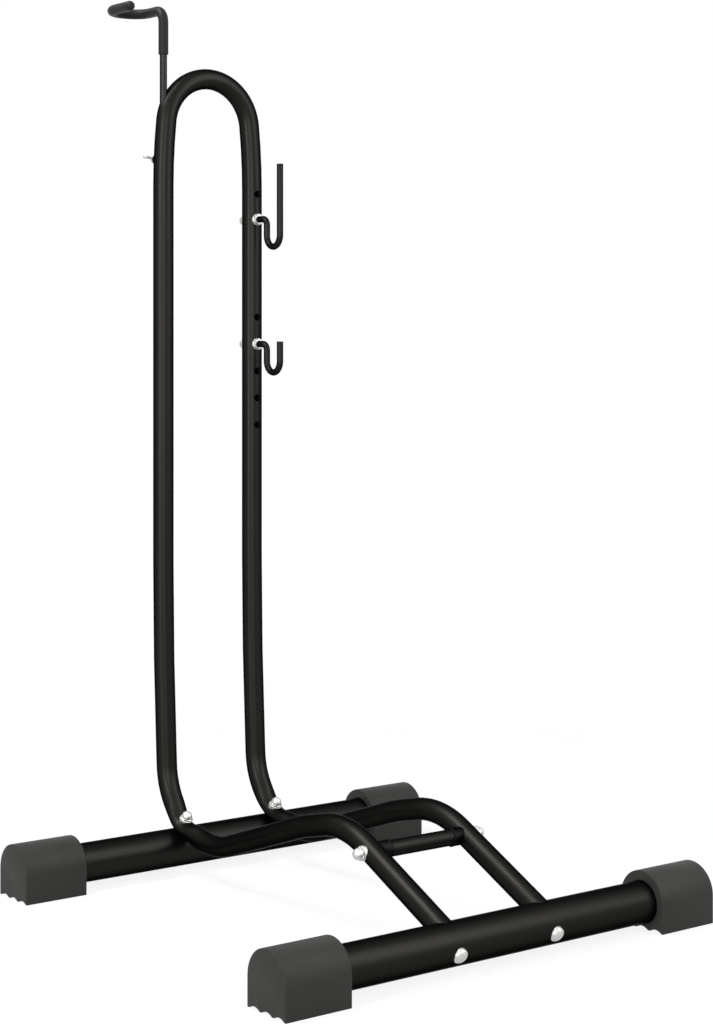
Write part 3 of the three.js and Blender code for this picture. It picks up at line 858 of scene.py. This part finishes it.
def bore(mesh, seat, radius, low, high):
    """Drills a hole from low to high along the seat's axis."""
    tool = lathe([(0, low), (radius, low), (radius, high), (0, high)], seat, segments=32)
    mesh = boolean(mesh, tool)
    tool.free()
    return mesh


print("hexagon and bore ready")

# %% Cap nut
nut_sink = 3.2 * mm  # the blank reaches this far below its seat before it is hollowed
nut_height, nut_dome, nut_chamfer = 4.6 * mm, 7.9 * mm, 1.1 * mm
washer_edge = 0.4 * mm


def cap_nut(seat, low, across_flats, hole, depth, washer=9 * mm, washer_top=1.3 * mm):
    """A cap nut on its washer, seated on the frame tube that low is measured from."""
    rim, start = across_flats * 0.475, low - nut_sink
    top, brim = low + nut_height, low + washer_top
    mesh = hexagon(seat, across_flats, start, top, nut_chamfer)
    cap = lathe([(0, start), (rim, start), *dome(rim, top, nut_dome)], seat)
    disc = lathe([(0, start), (washer, start), (washer, brim - washer_edge),
                  (washer - washer_edge, brim), (0, brim)], seat)
    for turned in (cap, disc):
        mesh = boolean(mesh, turned, "UNION")
        turned.free()
    mesh = boolean(mesh, around_frame)
    mesh = bore(mesh, seat, hole, -low, low + depth)
    return soften(mesh, 0.22 * mm, segments=2, angle=35)


print("cap nuts stand", round((nut_height + nut_dome) / mm, 1), "mm tall")

# %% Round-headed bolt
head_rim, head_skirt, head_dome, head_sink = 9.2 * mm, 1.2 * mm, 4.6 * mm, 4 * mm
shank_chamfer = 0.8 * mm


def round_bolt(seat, length, tube_axis):
    """A round-headed bolt with a turned shank, its head seated on a base tube."""
    mesh = lathe([(0, -head_sink), (head_rim, -head_sink),
                  *dome(head_rim, head_skirt, head_dome)], seat)
    seat_tool = around_base(tube_axis)
    mesh = boolean(mesh, seat_tool)
    seat_tool.free()
    shank = lathe([(0, -length), (bolt_radius - shank_chamfer, -length),
                   (bolt_radius, -length + shank_chamfer), (bolt_radius, mm), (0, mm)],
                  seat, segments=32)
    mesh = boolean(mesh, shank, "UNION")
    shank.free()
    return soften(mesh, 0.25 * mm, segments=2, angle=50)


print("bolt heads stand", round((head_skirt + head_dome) / mm, 1), "mm proud")

# %% Rear and front bolts
bolt_flats, thread_depth, thread_rest = 15 * mm, 8.5 * mm, 0.5 * mm
plug_grip = 11 * mm
nut_low = saddle_reach + tube_radius - dent_depth
rear_length = base_radius + nut_low + thread_depth - thread_rest
front_length = (front_seat - plug_middle).length + plug_grip
for side_name, side in sides.items():
    across = X * side * rail_x
    nut = cap_nut(place(rear_axis + across, saddle_up), nut_low, bolt_flats, bolt_hole,
                  thread_depth, washer_top=2.2 * mm)
    finish(f"ankle_cap_nut_{side_name}", nut, zinc, "zinc", "stand",
           f"rear_cap_nut_{side_name}")
    head = place(rear_axis + across - saddle_up * base_radius, -saddle_up)
    finish(f"ankle_bolt_{side_name}", round_bolt(head, rear_length, rear_axis), zinc,
           "zinc", "stand", f"rear_bolt_{side_name}")
    head = place(front_seat + across, bolt_out)
    finish(f"rail_bolt_{side_name}", round_bolt(head, front_length, front_axis), zinc,
           "zinc", "stand", f"front_bolt_{side_name}")

# %% [markdown]
# ## The bar across the rails
#
# A short tube keeps the rails apart in front of the wheel. Each of its ends sits in a
# nylon collar that is hollowed to the rail's curve, and a threaded rod with a cap nut at
# each end pulls the whole stack tight. The collar comes off the lathe, and the swollen
# rail then cuts its hollow, so that it fits whatever way the rail slopes.

# %% Cross bar
rail_face = rail_x - tube_radius
shoulder, socket_depth = 5 * mm, 7 * mm
bar_radius, bar_wall = 10 * mm, 1.5 * mm
bar_half = rail_face - shoulder - touch
bar = Bender(bar_radius, cross_axis - X * bar_half, X, side=Y, segments=64)
bar.straight(2 * bar_half, parts=24)
finish("cross_bar_tube", soften(wall(bar.mesh, bar_wall), 0.2 * mm, segments=2, angle=60),
       powder_coat, "powder_coat", "stand", "cross_bar")

# %% Collars and nuts
collar_fit, collar_rim = bar_radius + 0.12 * mm, 11.5 * mm
collar_chamfer, ring_width, ring_depth = 0.7 * mm, 2.4 * mm, 0.35 * mm
collar_start = rail_face - shoulder - socket_depth
ring_end = collar_start + ring_width
for side_name, side in sides.items():
    seat = place(cross_axis, X * side, Y)
    collar = lathe([(0, collar_start + socket_depth),
                    (collar_fit, collar_start + socket_depth), (collar_fit, collar_start),
                    (collar_rim - collar_chamfer, collar_start),
                    (collar_rim, collar_start + collar_chamfer), (collar_rim, ring_end),
                    (collar_rim - ring_depth, ring_end + 0.4 * mm),
                    (collar_rim - ring_depth, rail_x), (0, rail_x)], seat, segments=64)
    collar = bore(boolean(collar, around_frame), seat, bolt_hole, collar_start, rail_x)
    collar = soften(collar, 0.15 * mm, segments=2, angle=50)
    finish(f"bar_collar_{side_name}", collar, nylon, "black_nylon", "stand",
           f"cross_collar_{side_name}")
    nut = cap_nut(seat, rail_x + tube_radius, bolt_flats, bolt_hole, thread_depth)
    finish(f"bar_cap_nut_{side_name}", nut, zinc, "zinc", "stand",
           f"cross_cap_nut_{side_name}")

# %% [markdown]
# ## The hook on top
#
# A 10 mm rod slides in the left leg. Above the leg it bends over and round into a flat
# hook, and a rubber sleeve is pulled over that part so that it can't scratch a bicycle's
# frame. The sleeve follows the same bends, so one list of bends makes both.

# %% Bends of the top hook
arm_height = 1168.5 * mm
elbow, corner, span, depth_back = 16.6 * mm, 25 * mm, 55 * mm, 61.5 * mm
tip_ahead = 3.5 * mm


def bend_hook(radius, bottom, segments):
    """A bar or sleeve that follows the hook's bends from bottom to its free end."""
    hook = Bender(radius, (-rail_x, leg_y, bottom), Z, segments=segments, step=5)
    hook.straight(arm_height - elbow - bottom, parts=8)
    hook.bend(elbow, 90, -X).straight(depth_back - elbow - corner, parts=2)
    hook.bend(corner, 90, Z).straight(span - 2 * corner)
    hook.bend(corner, 90, Z).straight(depth_back - corner + tip_ahead, parts=4)
    return hook


def round_end(bender, radius, steps=8):
    """Draws the last ring in to a half ball, but for its tiny last hole."""
    for i in range(1, steps + 1):
        angle, before = (math.radians(90 * k / steps) for k in (i, i - 1))
        bender.straight(radius * (math.sin(angle) - math.sin(before)))
        shrink = max(math.cos(angle), 0.02) / math.cos(before)
        bmesh.ops.scale(bender.mesh, verts=bender.ring, vec=(shrink,) * 3,
                        space=Matrix.Translation(-bender.point))


print("hook", round(span / mm), "mm wide and", round(depth_back / mm), "mm deep")

# %% Rod and sleeve
rod_radius, sleeve_radius = 5 * mm, 6.8 * mm
rod = bend_hook(rod_radius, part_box("hook_rod")[0][2], 32)
rod_mesh = soften(rod.close(rod.first, rod.ring), 0.6 * mm, angle=60)
finish("sliding_rod", rod_mesh, black_steel, "powder_coat", "top_hook", "hook_rod")

sleeve_bottom = arm_height - 61 * mm
sleeve = bend_hook(sleeve_radius, sleeve_bottom, 48)
round_end(sleeve, sleeve_radius)
sleeve_mesh = soften(sleeve.close(sleeve.first, sleeve.ring), 0.9 * mm, angle=60)
lining = bend_hook(rod_radius + 0.08 * mm, sleeve_bottom - 2 * mm, 32)
lining_mesh = lining.close(lining.first, lining.ring)
finish("rubber_sleeve", boolean(sleeve_mesh, lining_mesh), rubber, "rubber_sleeve",
       "top_hook", "hook_sleeve")

# %% [markdown]
# ## Clamp and wing bolt
#
# The rod is held at its height by a wing bolt in a round boss behind the leg. The wings
# are pressed from plate: an outline with an ear on each side, pushed to its thickness and
# rounded all over, round a turned hub. One ear is drawn, and a half turn makes the other.

# %% Clamp boss
clamp_seat = place((-rail_x, leg_y, clamp_height), Y, X)
boss_start, boss_end = 6 * mm, tube_radius + 3.4 * mm
boss_radius, boss_chamfer = 7.75 * mm, 0.6 * mm
boss = lathe([(0, boss_start), (boss_radius, boss_start),
              (boss_radius, boss_end - boss_chamfer),
              (boss_radius - boss_chamfer, boss_end), (0, boss_end)], clamp_seat)
boss = bore(boolean(boss, around_frame), clamp_seat, bolt_hole, 0, boss_end + mm)
finish("threaded_boss", boss, powder_coat, "powder_coat", "stand", "clamp_boss")

# %% Wing bolt
hub_start, hub_radius, hub_height, hub_edge = boss_end + touch, 6 * mm, 8 * mm, 0.4 * mm
tip_start, tip_radius, tip_taper = rod_radius + touch, 3.2 * mm, 0.9 * mm
wing_half, wing_ear, wing_plate = 17.6 * mm, 5 * mm, 2.6 * mm
wing_turn = 16  # degrees from level


def wing(turn):
    """One ear of the wing bolt, turned about the bolt's axis."""
    mesh = bmesh.new()
    ear_x, ear_low = wing_half - wing_ear, 2.2 * mm
    pen = Pen(mesh, (0, 0, 0)).line((5.5 * mm, 0, 0.4 * mm)).line((ear_x, 0, ear_low))
    pen.arc((ear_x, 0, ear_low + wing_ear), -200, axis=Y, steps=16)
    pen.line((6 * mm, 0, 7.2 * mm)).line((0, 0, 7.4 * mm))
    pen.push((0, wing_plate, 0))
    bmesh.ops.translate(mesh, verts=mesh.verts[:], vec=(0, -wing_plate / 2, hub_start))
    soften(mesh, 0.9 * mm, angle=50)
    bmesh.ops.transform(mesh, verts=mesh.verts[:],
                        matrix=clamp_seat @ Matrix.Rotation(math.radians(turn), 4, "Z"))
    return mesh


hub_top = hub_start + hub_height
wing_bolt = lathe([(0, tip_start), (tip_radius, tip_start),
                   (bolt_radius, tip_start + tip_taper), (bolt_radius, hub_start),
                   (hub_radius - hub_edge, hub_start), (hub_radius, hub_start + hub_edge),
                   (hub_radius - hub_edge, hub_top - 2.4 * mm),
                   (hub_radius - 1.4 * mm, hub_top - hub_edge),
                   (hub_radius - 2.4 * mm, hub_top), (0, hub_top)], clamp_seat)
for turn in (wing_turn, wing_turn + 180):
    wing_bolt = boolean(wing_bolt, wing(turn), "UNION")
finish("wing_bolt_pressed", wing_bolt, zinc, "zinc", "wing_bolt", "wing_bolt")

# %% [markdown]
# ## J hooks
#
# Two bent rods reach forward from the right leg, to hang a pedal or a strap on. Their
# threaded ends go through the leg, with a flanged nut in front and a cap nut behind. The
# two differ only in how far the free arm rises, so one list of bends makes both.

# %% Shapes of the J hooks and their front nuts
j_radius, j_elbow, j_arms, j_drop = 4.5 * mm, 9.5 * mm, 32 * mm, 39.4 * mm
j_reach, j_depth = 37.6 * mm, 7 * mm
j_hole, j_flats, j_thread = j_radius + 0.1 * mm, 14 * mm, j_depth + 0.5 * mm
flange_radius, flange_slope = 8.1 * mm, 1.3 * mm
rises = {"upper": 74.5 * mm, "lower": 3.6 * mm}


def j_hook(height, rise):
    """From the threaded end behind the leg to the free arm's flat tip."""
    back = tube_radius + j_depth
    hook = Bender(j_radius, (rail_x, leg_y + back, height), -Y, segments=40, step=6)
    hook.straight(back + j_reach - j_elbow, parts=8)
    hook.bend(j_elbow, 90, X).straight(j_drop - j_elbow - j_arms / 2)
    hook.bend(j_arms / 2, 180, -X).straight(j_drop - j_arms / 2 + rise, parts=6)
    return soften(hook.close(hook.first, hook.ring), 0.5 * mm, angle=60)


def lock_nut(seat):
    """A flanged nut in front of the leg: negative heights lie in front."""
    high, low = -tube_radius + 3 * mm, -tube_radius - 5 * mm
    brim = -tube_radius - 1.7 * mm
    mesh = hexagon(seat, j_flats, low, high, mm, both_ends=True)
    flange = lathe([(0, high), (flange_radius, high), (flange_radius, brim + 1.1 * mm),
                    (flange_radius - flange_slope, brim), (0, brim)], seat)
    mesh = boolean(mesh, flange, "UNION")
    flange.free()
    mesh = bore(boolean(mesh, around_frame), seat, j_hole, low - mm, 0)
    return soften(mesh, 0.2 * mm, segments=2, angle=35)


print("J hooks reach", round(j_reach / mm, 1), "mm forward of the leg's axis")

# %% J hooks and their nuts
for name, height in hook_heights.items():
    seat = place((rail_x, leg_y, height), Y, X)
    finish(f"{name}_hook_bar", j_hook(height, rises[name]), powder_coat, "powder_coat",
           f"{name}_hook", f"{name}_j_hook")
    finish(f"{name}_flange_nut", lock_nut(seat), zinc, "zinc", "stand",
           f"{name}_hook_lock_nut")
    nut = cap_nut(seat, tube_radius, j_flats, j_hole, j_thread, washer=8 * mm)
    finish(f"{name}_dome_nut", nut, zinc, "zinc", "stand", f"{name}_hook_cap_nut")

# %% [markdown]
# ## Hidden pieces
#
# The plugs in the rail ends, the guide at the rod's foot and the threaded rod inside the
# cross bar can't be seen, so their plain solids stay, with a finish of their own.

# %% Finishes of the hidden pieces
hidden = {"rail_plug_left": nylon, "rail_plug_right": nylon, "rod_guide": nylon,
          "cross_rod": zinc}
for name, material in hidden.items():
    data = frame["nodes"][name].data
    data.materials.clear()
    data.materials.append(material)
print("hidden pieces finished:", ", ".join(hidden))

# %% [markdown]
# ## Floor, background and light
#
# The rack stands on a white floor in front of nothing else. A colour should render about
# as it is written, so the light stays plain: an even sky and a few soft boxes. A round
# tube shows a soft box as a bright line along it. So two boxes are narrow and upright, to
# draw the thin lights on the legs, and one hangs above, for the lights on the rails and
# base tubes. The other two only lift the shaded sides.
#
# White comes from what camera and glossy rays see of the sky and floor, not from more
# light. Near the rack the floor is part glow and part plain paint, so the rack's soft
# shadow stays on it. Further out it fades to the white of the sky, and no horizon shows.

# %% Light paths


def seen_directly(owner):
    """1 for camera, glossy and transmission rays, else 0."""
    path = node(owner, "LightPath")
    total = path.outputs["Is Camera Ray"]
    for name in ("Is Glossy Ray", "Is Transmission Ray"):
        total = node(owner, "Math", [(0, total), (1, path.outputs[name])],
                     operation="ADD", use_clamp=True).outputs[0]
    return total


def mix_shaders(owner, factor, first, second):
    """A shader that goes from the first to the second as factor goes from 0 to 1."""
    return node(owner, "MixShader",
                [(0, factor), (1, first.outputs[0]), (2, second.outputs[0])])


print("light path helpers ready")

# %% Sky
sky_strength = 0.24
world = bpy.data.worlds.new("plain_sky")
bpy.context.scene.world = world
world.use_nodes = True
world.node_tree.nodes.clear()
lighting_sky = node(world, "Background", Color=grey(1), Strength=sky_strength)
white_sky = node(world, "Background", Color=grey(1), Strength=1.0)
both = mix_shaders(world, seen_directly(world), lighting_sky, white_sky)
node(world, "OutputWorld", [("Surface", both.outputs[0])])
print("sky made")

# %% Floor
floor_mesh = bmesh.new()
bmesh.ops.create_grid(floor_mesh, x_segments=1, y_segments=1, size=30)
data = bpy.data.meshes.new("studio_floor")
floor_mesh.to_mesh(data)
floor_mesh.free()
studio_floor = bpy.data.objects.new("studio_floor", data)
bpy.context.scene.collection.objects.link(studio_floor)
print("floor laid")

# %% Floor's finish
paint_grey, shaded_grey, glow_strength = 0.4, 0.14, 0.86
fade_scale, fade_slope = 0.7, 1.6
paper = bpy.data.materials.new("white_paper")
paper.use_nodes = True
paper.node_tree.nodes.clear()
paint = node(paper, "BsdfDiffuse", Color=grey(paint_grey))
lit = node(paper, "BsdfDiffuse", Color=grey(shaded_grey))
glow = node(paper, "Emission", Strength=glow_strength)
near_floor = node(paper, "AddShader", [(0, lit.outputs[0]), (1, glow.outputs[0])])
far_floor = node(paper, "Emission", Strength=1.0)

at_object = node(paper, "TexCoord").outputs["Object"]
shrunk = node(paper, "Mapping", [("Vector", at_object)], Scale=(fade_scale,) * 3)
nearness = node(paper, "TexGradient", [("Vector", shrunk.outputs["Vector"])],
                gradient_type="SPHERICAL")
steeper = node(paper, "Math", [(0, nearness.outputs["Fac"])], operation="MULTIPLY",
               use_clamp=True)
steeper.inputs[1].default_value = fade_slope
white_floor = mix_shaders(paper, steeper.outputs[0], far_floor, near_floor)
both = mix_shaders(paper, seen_directly(paper), paint, white_floor)
node(paper, "OutputMaterial", [("Surface", both.outputs[0])])
data.materials.append(paper)
studio_floor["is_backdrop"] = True
print("floor made")

# %% Soft boxes


def soft_box(name, spot, size, watts, target=(0, 0, 0.5)):
    """A rectangular lamp that faces the target."""
    lamp = bpy.data.lights.new(name, "AREA")
    lamp.shape, lamp.energy = "RECTANGLE", watts
    lamp.size, lamp.size_y = size
    box = bpy.data.objects.new(name, lamp)
    box.location = spot
    aim = Vector(target) - Vector(spot)
    box.rotation_euler = aim.to_track_quat("-Z", "Y").to_euler()
    bpy.context.scene.collection.objects.link(box)
    print(name, "gives", round(watts / (math.pi * size[0] * size[1]), 2), "of white")


soft_box("left_box", (-2.9, -0.75, 1.1), size=(0.35, 1.9), watts=50)
soft_box("front_box", (-1.9, -3.0, 1.1), size=(0.3, 1.5), watts=46)
soft_box("right_box", (1.373, -1.843, 1.928), size=(1.3, 2.4), watts=42,
         target=(0, 0, 0.05))
soft_box("top_box", (-1.1, 0.58, 2.75), size=(0.9, 1.3), watts=60, target=(0, 0, 0.1))
soft_box("fill_box", (1.1, -2.9, 1.0), size=(1.6, 1.2), watts=5)

# %% [markdown]
# ## Finish
#
# The solids' box and the dressed rack's box are printed, so that the two can be compared.

# %% Sizes and finish
sizes = {"cad": solids_box, "visual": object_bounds()}
for name, box in sizes.items():
    print(name, [[round(v, 4) for v in corner] for corner in box])
